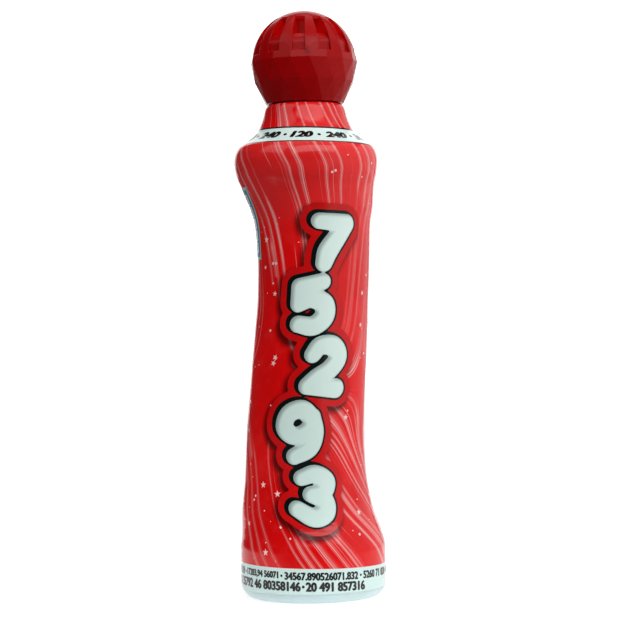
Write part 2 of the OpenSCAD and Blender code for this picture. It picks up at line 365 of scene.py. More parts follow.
# ---------------------------------------------------------------- printed artwork: fat numerals as strokes
# Each stroke is a list of (x, y, weight); y runs from -0.5 to 0.5, and "s" marks a smooth one
GLYPHS = {
    "7": [("l", [(-0.33, 0.43, 0.9), (0.33, 0.47, 1.05)]), ("s", [(0.33, 0.47, 1.05), (0.12, 0.08, 1.1), (-0.03, -0.22, 1.15), (-0.08, -0.5, 0.95)])],
    "2": [("s", [(-0.31, 0.24, 0.95), (-0.18, 0.45, 1.05), (0.1, 0.48, 1.15), (0.29, 0.27, 1.15), (0.15, -0.02, 1.1), (-0.12, -0.24, 1.0), (-0.3, -0.45, 0.95)]),
          ("l", [(-0.3, -0.46, 0.95), (0.36, -0.43, 1.1)])],
    "5": [("l", [(0.33, 0.47, 0.95), (-0.2, 0.44, 1.0)]), ("l", [(-0.2, 0.44, 1.0), (-0.28, 0.06, 0.95)]),
          ("s", [(-0.28, 0.06, 0.95), (0.03, 0.13, 1.05), (0.3, -0.04, 1.15), (0.28, -0.33, 1.15), (0.0, -0.5, 1.1), (-0.34, -0.4, 0.95)])],
    "3": [("s", [(-0.32, 0.37, 0.9), (-0.03, 0.5, 1.05), (0.26, 0.36, 1.15), (0.2, 0.1, 1.1), (-0.06, 0.02, 0.9)]),
          ("s", [(-0.06, 0.02, 0.9), (0.27, -0.07, 1.1), (0.33, -0.33, 1.15), (0.05, -0.51, 1.1), (-0.34, -0.37, 0.95)])],
    "9": [("s", [(0.29, 0.24, 1.0), (0.1, 0.49, 1.05), (-0.2, 0.43, 1.05), (-0.32, 0.16, 1.05), (-0.12, -0.06, 1.0), (0.18, 0.02, 1.0), (0.29, 0.24, 1.0)]),
          ("s", [(0.3, 0.3, 1.0), (0.32, -0.05, 1.1), (0.17, -0.36, 1.1), (-0.16, -0.5, 0.95)])],
    "4": [("l", [(0.1, 0.5, 1.0), (-0.34, -0.14, 1.0)]), ("l", [(-0.34, -0.14, 1.0), (0.38, -0.1, 1.05)]), ("l", [(0.13, 0.5, 1.05), (0.13, -0.5, 1.1)])],
    "6": [("s", [(0.2, 0.5, 0.95), (-0.15, 0.36, 1.1), (-0.32, 0.04, 1.1), (-0.3, -0.26, 1.05), (-0.08, -0.49, 1.05), (0.22, -0.4, 1.05), (0.31, -0.14, 1.0), (0.1, 0.06, 1.0), (-0.22, -0.02, 1.0)])],
    "8": [("s", [(0.0, 0.02, 0.95), (-0.26, 0.22, 1.0), (-0.14, 0.47, 1.05), (0.16, 0.47, 1.05), (0.27, 0.22, 1.0), (0.0, 0.02, 0.95)]),
          ("s", [(0.0, 0.02, 0.95), (-0.32, -0.22, 1.1), (-0.16, -0.49, 1.15), (0.18, -0.49, 1.15), (0.32, -0.22, 1.1), (0.0, 0.02, 0.95)])],
}
# numeral, angle round the bottle in degrees, height of its middle, height and weight of its strokes, lean
ARTWORK = [
    ("7", 17, 92.5, 11.4, 2.35, -9), ("5", -2, 76.5, 11.2, 2.3, 9), ("2", 15, 60.4, 11.6, 2.3, -8), ("9", -6, 43.8, 11.8, 2.3, 7),
    ("3", 6, 27.6, 11.0, 2.3, -10),
    ("4", 178, 97.0, 11.4, 2.2, 8), ("8", 196, 80.6, 11.4, 2.2, -8), ("6", 178, 64.6, 11.6, 2.3, 8), ("7", 197, 48.6, 11.0, 2.3, -6),
    ("2", 180, 32.4, 11.0, 2.3, 9),
]


def curve_points(kind, pts, per=6):
    p = np.array(pts, float)
    if kind == "l":
        return p
    q = np.vstack([2 * p[0] - p[1], p, 2 * p[-1] - p[-2]])
    if np.allclose(p[0, :2], p[-1, :2]):
        q[0], q[-1] = p[-2], p[1]
    out = []
    for i in range(1, len(q) - 2):
        for j in range(per):
            t = j / per
            out.append(0.5 * (2 * q[i] + (q[i + 1] - q[i - 1]) * t + (2 * q[i - 1] - 5 * q[i] + 4 * q[i + 1] - q[i + 2]) * t * t
                              + (3 * q[i] - q[i - 1] - 3 * q[i + 1] + q[i + 2]) * t ** 3))
    return np.array(out + [p[-1]])


def artwork_distance(th, t, shift=(0.0, 0.0)):
    """Signed distance in mm to the fat numerals, at film points. shift moves the numerals by that much."""
    z = z_of(t)
    r = radius(z)
    d = np.full(th.shape, 99.0)
    for name, deg, zc, size, weight, lean in ARTWORK:
        a = (th - math.radians(deg) + math.pi) % (2 * math.pi) - math.pi
        x, y = a * r - shift[0], t - float(t_of(zc)) - shift[1]
        near = (np.abs(x) < 15) & (np.abs(y) < 17)
        c, s = math.cos(math.radians(lean)), math.sin(math.radians(lean))
        px, py = (x[near] * c + y[near] * s), (-x[near] * s + y[near] * c)
        best = np.full(px.shape, 99.0)
        for kind, pts in GLYPHS[name]:
            q = curve_points(kind, pts)
            xs, ys, ws = q[:, 0] * size * 1.0, q[:, 1] * size, q[:, 2] * weight
            for i in range(len(q) - 1):
                ax, ay, bx, by = xs[i], ys[i], xs[i + 1] - xs[i], ys[i + 1] - ys[i]
                u = np.clip(((px - ax) * bx + (py - ay) * by) / max(bx * bx + by * by, 1e-9), 0, 1)
                best = np.minimum(best, np.hypot(px - ax - u * bx, py - ay - u * by) - (ws[i] + (ws[i + 1] - ws[i]) * u))
        d[near] = np.minimum(d[near], best)
    return d


# ---------------------------------------------------------------- film
N_TH, N_T = 300, 306
th_line = np.linspace(-math.pi, math.pi, N_TH + 1)
t_line = np.linspace(0, T_END, N_T)
TH, T = np.meshgrid(th_line[:-1], t_line)
outer = surface(TH, T)
film_v = outer.reshape(-1, 3)
film_f = []
for j in range(N_T - 1):
    for i in range(N_TH):
        film_f.append((j * N_TH + i, j * N_TH + (i + 1) % N_TH, (j + 1) * N_TH + (i + 1) % N_TH, (j + 1) * N_TH + i))
# the cut edges turn in to the bottle
low_in = surface(th_line[:-1], np.zeros(N_TH), -0.2)
o = len(film_v)
LIP = [(9.86, 129.12), (9.6, 129.2), (9.1, 129.2), (8.75, 129.28), (8.62, 129.5), (8.6, 130.0)]
lips = [np.stack([r * np.sin(th_line[:-1]), -r * np.cos(th_line[:-1]), np.full(N_TH, z)], -1) for r, z in LIP]
film_v = np.vstack([film_v, low_in] + lips)
for i in range(N_TH):
    j = (i + 1) % N_TH
    film_f.append((o + i, o + j, j, i))
    below = [(N_T - 1) * N_TH] + [o + N_TH * (k + 1) for k in range(len(LIP))]
    for lo_, hi_ in zip(below, below[1:]):
        film_f.append((lo_ + i, lo_ + j, hi_ + j, hi_ + i))

th_all = np.concatenate([TH.ravel()] + [th_line[:-1]] * (1 + len(LIP)))
t_all = np.concatenate([T.ravel(), np.zeros(N_TH)] + [np.full(N_TH, T_END)] * len(LIP))
z_all = z_of(t_all)
sdf_w = artwork_distance(th_all, t_all)
sdf_k = np.minimum(sdf_w - 0.5, artwork_distance(th_all, t_all, (-0.72, 0.42)) - 0.5)
sdf_in = artwork_distance(th_all, t_all, (0.75, -0.45))
cast = np.minimum(artwork_distance(th_all, t_all, (-1.35, -0.55)), artwork_distance(th_all, t_all, (-0.9, -1.0))) - 2.2

# streaks leave a row of points under the numerals, front and back, and run upright far from them
SQUEEZE = 0.5
LOOP = 100.0 * SQUEEZE
SOURCES = [(13, 65), (9, 54), (3, 42), (193, 66), (186, 55), (180, 43)]


def swing(z):
    k = np.clip(44 - np.asarray(z, float), 0, None)
    return 0.042 * k * k / (k + 8)


def drawn_in(th, z):
    """Streaks draw together towards the front as they come down, and turn a little over the shoulder."""
    a = 0.62 * smooth((118 - z) / 50) * smooth((z - 8) / 34)
    k = np.clip(z - 111, 0, None)
    return th + a * np.sin(th - 0.2) + 0.03 * k * k / (k + 2)


flow_th = drawn_in(th_all, z_all) - swing(z_all)
psi, phi = np.zeros(th_all.shape), np.zeros(th_all.shape)
slope = np.zeros(th_all.shape, complex)
for deg, zc in SOURCES:
    th0 = float(drawn_in(np.array(math.radians(deg)), np.array(float(zc)))) - float(swing(zc))
    w = (flow_th - th0) / (2 * math.pi) * LOOP + 1j * (t_all - float(t_of(zc)))
    sw = np.sin(math.pi * w / LOOP)
    psi += np.angle(sw)
    phi += np.log(np.abs(sw) + 1e-6)
    slope += np.cos(math.pi * w / LOOP) / (sw + 1e-9)
# no streaks where the flow stands still, and few on the left of the numerals
calm = smooth((np.abs(slope) - 0.5) / 2.2)
th_half = (th_all + math.pi / 2) % math.pi - math.pi / 2
gap = ((th_half + math.radians(40)) / math.radians(34)) ** 2 + ((z_all - 60) / 26) ** 2
few = smooth((gap - 0.3) / 0.8)
right = smooth((th_half - 0.1) / 0.3) * smooth((82 - z_all) / 12) * smooth((z_all - 34) / 10)
low_left = smooth((0.0 - th_half) / 0.4) * smooth((44 - z_all) / 10)
edge_on = smooth((math.pi / 2 - np.abs(th_half)) / 0.4)
right, low_left = right * edge_on, low_left * edge_on
dens = (0.66 + 0.28 * smooth((96 - z_all) / 16)) * (0.1 + 0.9 * few) * (1 + 0.35 * right) * (1 - 0.35 * low_left)


SKEW = 0.0235


def film_material():
    g = G("printed_film", Roughness=0.13, IOR=1.5, Specular_IOR_Level=0.3)
    p = g.here()
    x, y, z = g.xyz(p)
    fx, fy, fz = g.xyz(g.attr("flow", "Vector"))
    ang = g.math("ARCTAN2", fy, fx)
    turn = ang * (1 / (2 * math.pi)) + 0.5
    calm_at, dens_at = g.attr("calm"), g.attr("dens")
    cloud = g.noise(p, 0.05, 3.0)
    red = g.mix(g.step(cloud, 0.36, 0.64), lin(214, 6, 8), lin(228, 10, 12))
    red = g.mix(g.step(z, 90.0, 106.0) * g.step(z, 122.0, 118.0) * 0.027, red, lin(246, 190, 190))
    mottle = g.noise(p, 0.22, 4.0, 0.6)
    red = g.mix(g.step(mottle, 0.5, 0.75) * 0.2, red, lin(234, 62, 62))

    def layer(n, seed, share, w0, w1, run, lines):
        """Random bundles along the flow, one in each of n sectors: a veil with one soft side, and fine lines by its crisp side."""
        q = turn * n
        i = g.math("FLOOR", q)
        u = q - i
        rnd = g.node("ShaderNodeTexWhiteNoise", out="Color", noise_dimensions="1D", inputs={"W": g.math("MODULO", i, float(n)) + seed})
        r1, r2, r3 = g.xyz(rnd)
        here = g.node("ShaderNodeTexNoise", noise_dimensions="2D",
                      inputs={"Vector": g.join(i * 3.7 + seed, fz * run), "Scale": 1.0, "Detail": 1.0})
        live = g.step(here, 0.34, 0.5) * g.step(r1 - dens_at * share, 0.0, -0.07) * calm_at
        sway = g.node("ShaderNodeTexNoise", noise_dimensions="2D",
                      inputs={"Vector": g.join(i * 9.1 + seed, fz * run * 1.4), "Scale": 1.0, "Detail": 0.0})
        start = 0.1 + r2 * 0.3 + sway * 0.22
        width = (w0 + r3 * (w1 - w0)) * (0.3 + live * 0.7)
        d = (u - start) / width
        veil = g.step(d, 0.0, 0.07) * g.step(d, 1.0, 0.12) * live
        fine = 0.0
        for at_d, w, k in lines:
            fine = g.step(g.math("ABSOLUTE", d - at_d), w, w * 0.35) * (live * k) + fine
        return veil, fine

    v1, f1 = layer(7, 3.0, 0.85, 0.2, 0.44, 0.06, ((0.06, 0.1, 1.0), (0.36, 0.06, 0.5), (-0.22, 0.07, 0.6)))
    v2, f2 = layer(11, 57.0, 0.6, 0.16, 0.38, 0.08, ((0.07, 0.13, 0.95), (-0.3, 0.09, 0.5), (0.6, 0.07, 0.35)))
    v3, f3 = layer(23, 19.0, 0.3, 0.14, 0.28, 0.1, ((0.05, 0.26, 0.8),))
    v4, f4 = layer(39, 83.0, 0.18, 0.14, 0.24, 0.12, ((0.05, 0.3, 0.6),))
    # the front has calmer places: right of the artwork at the waist, and at the left edge
    still = g.math("MAXIMUM", g.step(x, 1.0, 7.0) * g.step(z, 106.0, 97.0) * g.step(z, 58.0, 67.0) * 0.72,
                   g.math("MAXIMUM", g.step(x, -3.0, -8.0) * g.step(z, 93.0, 84.0) * g.step(z, 58.0, 66.0) * 0.6,
                          g.step(x, -3.0, -9.0) * g.step(z, 50.0, 40.0) * 0.5))
    amount = 1.0 - g.step(y, 6.0, -3.0) * still
    colour = g.mix(g.math("MINIMUM", v1 * 0.46 + v2 * 0.36 + v3 * 0.14, 0.55) * amount * 0.6, red, lin(246, 190, 190))
    colour = g.mix(g.math("MINIMUM", f1 * 0.9 + f2 * 0.85 + f3 * 0.65 + f4 * 0.5, 0.85) * amount * 0.7, colour, lin(252, 214, 212))
    # painted shade: a little darker towards the base, as if less light reached it
    colour = g.mix(g.step(z, 46.0, 14.0) * 0.17, colour, lin(150, 2, 4))
    # artwork
    kd, wd = g.attr("sdf_k"), g.attr("sdf_w")
    shade = g.step(g.attr("cast"), 1.7, -0.5)
    colour = g.mix(shade * 0.86, colour, lin(30, 2, 3))
    colour = g.mix(g.step(kd, 1.72, 1.66), colour, g.mix(g.step(mottle, 0.4, 0.7), lin(196, 12, 14), lin(205, 16, 18)))
    colour = g.mix(g.step(kd, 0.07, -0.07), colour, lin(9, 16, 15))
    inner = g.step(g.attr("sdf_in"), -0.75, 0.55)
    edge = g.step(wd, -0.4, 0.15)
    # painted shade: the white of the numerals is a little darker towards the base; the grey by their edges is print
    white = g.mix(g.math("MAXIMUM", inner * 0.6, edge * 0.4), g.mix(g.step(z, 84.0, 20.0), lin(220, 241, 234), lin(206, 229, 222)), lin(84, 102, 98))
    colour = g.mix(g.step(wd, 0.05, -0.05), colour, white)
    # bands: the film has shrunk a little askew, so they drop towards the right
    zs = z + x * SKEW
    band = g.step(zs, 118.42, 118.46) * g.step(zs, 122.09, 122.05)
    line = g.step(zs, 118.15, 118.19) * g.step(zs, 122.5, 122.46)
    colour = g.mix(line, colour, lin(12, 16, 16))
    colour = g.mix(band, colour, lin(217, 239, 234))
    colour = g.mix(g.step(zs, 9.24, 9.19), colour, lin(203, 227, 223))
    colour = g.mix(g.step(z, 128.95, 129.05), colour, lin(206, 6, 8))
    # film shrunk over a blown bottle: faint ripples where it narrows, and long slow waves
    ripple = g.noise(g.join(x * 0.10, y * 0.10, z * 0.55), 1.0, 2.0)
    zone = g.math("MAXIMUM", g.step(z, 92.0, 99.0) * g.step(z, 116.0, 110.0), g.step(z, 34.0, 27.0) * g.step(z, 13.0, 17.0) * 0.55)
    slow = g.noise(g.join(x * 0.12, y * 0.12, z * 0.035), 1.0, 1.0)
    h = ripple * (zone * 0.16 + 0.012) + slow * 0.16
    normal = g.bump(h, 0.001, 0.8)
    return g.set(Base_Color=colour, Normal=normal)


film_mat = film_material()
film_ob = obj("film_sleeve", film_v, film_f, film_mat, None)
me = film_ob.data
for name, values in (("sdf_w", sdf_w), ("sdf_k", sdf_k), ("sdf_in", sdf_in), ("cast", cast)):
    me.attributes.new(name, "FLOAT", "POINT").data.foreach_set("value", values.astype(np.float32))
flow = np.stack([np.cos(psi), np.sin(psi), phi], -1).astype(np.float32)
me.attributes.new("flow", "FLOAT_VECTOR", "POINT").data.foreach_set("vector", flow.ravel())
me.attributes.new("calm", "FLOAT", "POINT").data.foreach_set("value", calm.astype(np.float32))
me.attributes.new("dens", "FLOAT", "POINT").data.foreach_set("value", dens.astype(np.float32))
uv = me.uv_layers.new(name="OFBake")
loops = np.zeros(len(me.loops), np.int32)
me.loops.foreach_get("vertex_index", loops)
starts = np.repeat(np.arange(len(me.polygons)), [p.loop_total for p in me.polygons])
lu = (th_all[loops] + math.pi) / (2 * math.pi)
first = np.full(len(me.polygons), 0.0)
np.maximum.at(first, starts, lu)
lu = np.where((first[starts] > 0.9) & (lu < 0.1), lu + 1.0, lu)
lip_v = np.zeros(len(film_v))
for k in range(len(LIP)):
    lip_v[o + N_TH * (k + 1):o + N_TH * (k + 2)] = k + 1
uvs = np.stack([0.002 + 0.996 * lu, 0.006 + 0.97 * t_all[loops] / T_END], -1)
# the two turned-in edges get thin strips of their own
edge_v = loops >= o
rim = np.zeros(len(me.polygons), bool)
np.logical_or.at(rim, starts, edge_v)
rim_loop = rim[starts]
uvs[:, 1] = np.where(rim_loop & (t_all[loops] < 1), np.where(edge_v, 0.0, 0.004), uvs[:, 1])
uvs[:, 1] = np.where(rim_loop & (t_all[loops] > 1), 0.98 + 0.0032 * lip_v[loops], uvs[:, 1])
uv.data.foreach_set("uv", uvs.astype(np.float32).ravel())
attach(film_ob, "body")
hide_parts("shrink_sleeve")

# ---------------------------------------------------------------- print laid on the film: stars, numbers, the card
ink_black = plain("print_black", lin(10, 14, 14), 0.16, IOR=1.5)
star_white = plain("print_star", lin(246, 205, 200), 0.25, IOR=1.5)


def laid(name, polygons, material, lift=0.03):
    """polygons: list of (vertices as (angle, t) pairs, faces)."""
    v, f = merge(*polygons)
    extra = np.array([p[2] if len(p) > 2 else 0.0 for p in v])
    v = np.array([p[:2] for p in v], float)
    ob = obj(name, surface(v[:, 0], v[:, 1], lift + extra), f, material, "body")
    return ob


def local(points, deg, zc, lean=0.0):
    """Flat (x, y) points in mm laid round the point at that angle and height."""
    t0 = float(t_of(zc))
    c, s = math.cos(lean), math.sin(lean)
    out = []
    for x, y, *up in points:
        x, y = x * c - y * s, x * s + y * c
        out.append((math.radians(deg) + x / float(radius(z_of(t0 + y))), t0 + y, *up))
    return out


def star(size, sides=5):
    ring = []
    for i in range(2 * sides):
        r = size * (1.0 if i % 2 == 0 else 0.42)
        ring.append((r * math.sin(math.pi * i / sides), r * math.cos(math.pi * i / sides)))
    return [(0, 0)] + ring, [(0, 1 + (i + 1) % (2 * sides), 1 + i) for i in range(2 * sides)]


def dot(size, n=9):
    return [(0, 0)] + [(size * math.cos(2 * math.pi * i / n), size * math.sin(2 * math.pi * i / n)) for i in range(n)], \
           [(0, 1 + i, 1 + (i + 1) % n) for i in range(n)]


bits = []
tries = 0
while len(bits) < 150 and tries < 4000:
    tries += 1
    deg, zc = random.uniform(-180, 180), 11 + 104 * random.random() ** 1.15
    tt = float(t_of(zc))
    if float(artwork_distance(np.array([math.radians(deg)]), np.array([tt]))[0]) < 3.2:
        continue
    if -154 < deg < -64 and 86 < zc < 110:
        continue
    kind = random.random()
    if kind < 0.3 and zc < 95:
        v, f = star(random.uniform(0.55, 1.0))
    else:
        v, f = dot(random.choice((0.13, 0.16, 0.2, 0.26, 0.34)))
    bits.append((local(v, deg, zc, random.uniform(-0.5, 0.5)), f))
laid("print_stars", bits, star_white, 0.02)


def text_shape(body, bold=0.0, shear=0.0):
    """Flat vertices and faces of a line of numbers, 1 high, starting at x = 0, and its width. Bold print is the same
    faces laid several times a little to each side, with hair-thin steps in height."""
    cu = bpy.data.curves.new("line", "FONT")
    cu.body, cu.size, cu.shear, cu.resolution_u = body, 1.0, shear, 3
    cu.fill_mode = "FRONT"
    tmp = bpy.data.objects.new("line", cu)
    bpy.context.scene.collection.objects.link(tmp)
    made = bpy.data.meshes.new_from_object(tmp.evaluated_get(bpy.context.evaluated_depsgraph_get()))
    v = [(p.co.x, p.co.y) for p in made.vertices]
    f = [tuple(p.vertices) for p in made.polygons]
    if made.polygons and made.polygons[0].normal.z < 0:
        f = [x[::-1] for x in f]
    bpy.data.objects.remove(tmp)
    bpy.data.curves.remove(cu)
    bpy.data.meshes.remove(made)
    xs, ys = [p[0] for p in v], [p[1] for p in v]
    lo, hi = min(ys), max(ys)
    flat_v = [((x - min(xs)) / (hi - lo), (y - lo) / (hi - lo)) for x, y in v]
    flat_f, v, f = f, [], []
    for k, (sx, sy) in enumerate([(0, 0), (1, 0), (-1, 0), (0, 0.6), (0, -0.6), (0.7, 0.42), (-0.7, -0.42), (0.7, -0.42), (-0.7, 0.42)] if bold else [(0, 0)]):
        f += [tuple(i + len(v) for i in q) for q in flat_f]
        v += [(x + sx * bold, y + sy * bold, 0.0009 * k) for x, y in flat_v]
    return v, f, (max(xs) - min(xs)) / (hi - lo)


def row(words, zc, height, squeeze, gap, deg0, bold, shear=0.0, dot_r=0.2, span=360.0, end=None):
    """A row of numbers with dots between them, spread evenly round the bottle, or set close so as to stop at an angle."""
    made = []
    r = float(radius(zc))
    widths = []
    shapes = []
    for w in words:
        v, f, wid = text_shape(w, bold, shear)
        shapes.append((v, f))
        widths.append(wid * height * squeeze)
    need = sum(widths) + gap * len(words)
    k = (math.radians(span) * r) / need
    if end is not None:
        k, deg0 = 1.0, end - math.degrees((need - gap) / r)
    x = 0.0
    for i, ((v, f), wid) in enumerate(zip(shapes, widths)):
        th = [math.radians(deg0) + (px * height * squeeze + x) / r for px, py, up in v]
        mid_t = t_of(zc - SKEW * r * np.sin(th))
        made.append(([(a, float(m) + (py - 0.5) * height, up) for a, m, (px, py, up) in zip(th, mid_t, v)], f))
        x += wid
        step = gap + (k - 1) * need / len(words)
        if end is None or i < len(words) - 1:
            v2, f2 = dot(dot_r)
            a = math.radians(deg0) + (x + step / 2) / r
            made.append((local(v2, math.degrees(a), zc - SKEW * r * math.sin(a)), f2))
        x += step
    return made


marks = row(["120", "240", "360", "480", "120", "240", "360", "480", "120", "240"], 120.2, 2.5, 1.1, 2.4, -14.0, 0.115, 0.28, 0.5)
laid("print_band_numbers", marks, ink_black)
line1 = row(["17283,94 56071", "34567.890526071.832", "5260 71 830", "081 5 92", "11.22.33445", "5566 4", "77 88 99", "1020 3040", "50,60 70819", "314 159"],
            7.3, 1.85, 0.84, 1.9, -64, 0.095, 0.0, 0.33)
line2 = row(["0123 456 789", "91 02 13 24", "57 68 798081", "1357 246 81 35792 46 80358146", "20 491 857316"],
            4.65, 2.2, 0.86, 1.6, 0, 0.1, 0.0, 0.38, end=43.0)
laid("print_base_numbers", line1 + line2, ink_black, 0.025)

# number card on the left-hand side
CARD_A, CARD_B, CARD_LO, CARD_HI = -152.0, -67.0, 88.5, 107.5
card_white = plain("print_card", lin(206, 228, 222), 0.25)
card_blue = plain("print_blue", lin(86, 118, 172), 0.25)
card_green = plain("print_green", lin(150, 208, 190), 0.25)


def patch(a0, a1, z0, z1):
    na, nt = max(2, round(abs(a1 - a0) / 2.2)), max(2, round(abs(z1 - z0) / 0.9))
    ts = np.linspace(float(t_of(z0)), float(t_of(z1)), nt + 1)
    pts = [(math.radians(a0 + (a1 - a0) * i / na), t) for t in ts for i in range(na + 1)]
    f = [(j * (na + 1) + i, j * (na + 1) + i + 1, (j + 1) * (na + 1) + i + 1, (j + 1) * (na + 1) + i) for j in range(nt) for i in range(na)]
    return pts, f


laid("print_card_edge", [patch(CARD_A, CARD_B, CARD_LO, CARD_HI)], card_green, 0.02)
laid("print_card_frame", [patch(CARD_A + 2.4, CARD_B - 2.4, CARD_LO + 0.7, CARD_HI - 0.7)], card_blue, 0.035)
cells, nums = [], []
card_rows = [("5", "18", "33", "49", "61"), ("12", "22", "41", "57", "70"), ("9", "27", "", "52", "66"), ("3", "16", "38", "46", "74"), ("14", "30", "44", "60", "69")]
ca, cb, cl, ch = CARD_A + 6, CARD_B - 6, CARD_LO + 1.7, CARD_HI - 1.7
for j in range(5):
    for i in range(5):
        a0, a1 = ca + (cb - ca) * i / 5 + 0.7, ca + (cb - ca) * (i + 1) / 5 - 0.7
        z1, z0 = ch - (ch - cl) * j / 5 - 0.18, ch - (ch - cl) * (j + 1) / 5 + 0.18
        cells.append(patch(a0, a1, z0, z1))
        word = card_rows[j][i]
        if word:
            v, f, wid = text_shape(word, 0.03)
            hgt = 1.75
            nums.append((local([((px - wid / 2) * hgt * 0.72, (py - 0.5) * hgt, up) for px, py, up in v], (a0 + a1) / 2, (z0 + z1) / 2), f))
        else:
            v, f = star(1.1)
            nums.append((local(v, (a0 + a1) / 2, (z0 + z1) / 2), f))
laid("print_card_cells", cells, card_white, 0.05)
laid("print_card_numbers", nums, ink_black, 0.065)

# ---------------------------------------------------------------- bottle
def bottle_material():
    g = G("bottle_plastic", Roughness=0.32, IOR=1.5, Subsurface_Weight=0.35, Subsurface_Radius=(0.9, 1.0, 1.1), Subsurface_Scale=0.002)
    p = g.here()
    tone = g.noise(p, 0.3, 3.0)
    colour = g.mix(tone, lin(190, 211, 213), lin(203, 222, 224))
    return g.set(Base_Color=colour, Normal=g.bump(g.noise(p, 6.0, 3.0), 0.00006, 0.5))


bottle_mat = bottle_material()
dome_r = (12.5 ** 2 + 2.2 ** 2) / (2 * 2.2)
under = [(0.0, 2.2)]
for i in range(1, 13):
    r = 12.2 * i / 12
    under.append((r, 2.2 - dome_r + math.sqrt(dome_r ** 2 - r * r)))
stand = rounded([under[-1], (12.5, 0.0), (15.5, 0.0)], 0.25, 4, closed=False)
corner = [(15.5 + (CORNER - 0.2) * math.sin(a), 0.2 + (CORNER - 0.2) * (1 - math.cos(a))) for a in np.radians(np.arange(0, 91, 7.5))]
corner = [(r, z - 0.2 * (1 - k / 12)) for k, (r, z) in enumerate(corner)]
walls = [(float(radius(z)) - 0.22, z) for z in np.arange(4.2, 128.9, 1.6)]
neck = rounded([(9.7, 128.85), (8.5, 129.0), (8.5, 135.0), (7.4, 135.0), (7.4, 126.8)], 0.25, 4, closed=False)
inside = [(float(radius(z)) - 1.3, z) for z in np.arange(126.0, 4.5, -2.0)]
floor_in = [(15.6, 2.2), (13.0, 1.6), (12.0, 1.75)] + [(r, 3.5 - dome_r + math.sqrt(dome_r ** 2 - r * r)) for r in (10, 8, 6, 4, 2)] + [(0.0, 3.5)]
profile = under[::1] + stand[1:] + corner[1:] + walls + neck + inside + floor_in
bv, bf = lathe(profile, 144)
bv = np.array(bv, float)
cx, cy = centre(bv[:, 2])
bv[:, 0] += cx
bv[:, 1] += cy
parts = [(bv.tolist(), bf)]
for s in (0, 180):
    parts.append(ridge(8.5, 9.15, 130.7, s, 0.68, 1.1))
bead = [(8.4, 129.55), (8.95, 129.6), (9.05, 129.75), (8.95, 129.9), (8.4, 129.95)]
v, f = merge(*parts)
bottle_ob = obj("bottle_shell", v, f, bottle_mat, "body")
sharp(bottle_ob, 50)
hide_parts("bottle")

# parting line across the base and round its lower corner, as blown bottles have
seam_v, seam_f = [], []
for side in (0.0, 180.0):
    pts = [(r, z) for r, z in under[1:] + stand[1:] + corner[1:9]]
    for k, (r, z) in enumerate(pts):
        a = math.radians(side)
        nr = pts[min(k + 1, len(pts) - 1)][0] - pts[max(k - 1, 0)][0]
        nz = pts[min(k + 1, len(pts) - 1)][1] - pts[max(k - 1, 0)][1]
        ln = math.hypot(nr, nz) or 1
        ox, oz = nz / ln, -nr / ln
        for w, hgt in ((-0.14, -0.05), (0.0, 0.06), (0.14, -0.05)):
            rr, z2 = r + ox * hgt, z + oz * hgt
            seam_v.append((rr * math.cos(a) - w * math.sin(a), rr * math.sin(a) + w * math.cos(a), max(z2, 0.0)))
    base = len(seam_v) - 3 * len(pts)
    for k in range(len(pts) - 1):
        for j in range(2):
            q = base + 3 * k + j
            seam_f.append((q, q + 1, q + 4, q + 3))
obj("bottle_parting_line", seam_v, seam_f, bottle_mat, "body")


# ---------------------------------------------------------------- cap
def cap_material():
    g = G("cap_plastic", Roughness=0.2, IOR=1.5, Specular_IOR_Level=0.11, Subsurface_Weight=0.2, Subsurface_Radius=(1.0, 0.06, 0.05), Subsurface_Scale=0.0025)
    p = g.here()
    # painted light: the pockets, their side walls and the hub get a brighter red and a glow, standing in for light that
    # comes through the thin walls into these shaded hollows; the hub's pinker glow is a painted reflection
    from_middle = g.node("ShaderNodeVectorMath", out=1, operation="DISTANCE", inputs={0: p, 1: (0.0, 0.0, 140.3)})
    px, py, pz = g.xyz(p)
    inside = g.step(from_middle, 13.0, 11.4) * g.step(pz, 144.5, 146.8)
    sides = g.step(from_middle, 13.72, 13.4) * g.step(pz, 146.4, 147.6)
    hub = g.step(g.math("SQRT", px * px + py * py), 3.4, 2.4) * inside
    flow_mark = g.step(g.node("ShaderNodeVectorMath", out=1, operation="DISTANCE", inputs={0: p, 1: (1.0, -13.9, 141.7)}), 1.15, 0.5)
    deep = g.node("ShaderNodeBevel", out=0, samples=6, inputs={"Radius": 0.0003})
    tone = g.noise(p, 0.12, 2.0)
    colour = g.mix(tone, lin(154, 2, 4), lin(168, 4, 7))
    fine = g.bump(g.noise(p, 0.9, 2.0), 0.00003, 0.6, normal=deep)
    colour = g.mix(flow_mark * 0.7, colour, lin(122, 1, 2))
    # painted light: a brighter red in the pockets and on their side walls
    colour = g.mix(g.math("MAXIMUM", inside, sides * 0.6), colour, lin(200, 5, 5))
    # painted light: the pockets glow, and the hub glows pinker as a painted reflection
    return g.set(Base_Color=colour, Normal=fine, Emission_Color=g.mix(hub, lin(206, 12, 8), lin(196, 46, 46)),
                 Emission_Strength=g.math("MAXIMUM", inside * 0.12, sides * 0.1) + hub * 0.07)


cap_mat = cap_material()
BALL_R, BALL_Z, TURN0, POCKET0 = 13.8, 140.3, 5.6, -5.8


def level(z, r, a0):
    out = []
    for i in range(18):
        a = math.radians(a0 - 90 + 20 * i)
        out.append(Vector((r * math.cos(a), r * math.sin(a), z)))
    return out


def on_ball(z):
    return math.sqrt(BALL_R ** 2 - (z - BALL_Z) ** 2)


MID_R = 14.1
low_c = level(129.7, 10.4, TURN0)
low_b = level(135.1, 13.08, TURN0 + 10)
mid_a = level(BALL_Z, MID_R, TURN0)
top_u = level(144.4, on_ball(144.4), TURN0 + 10)
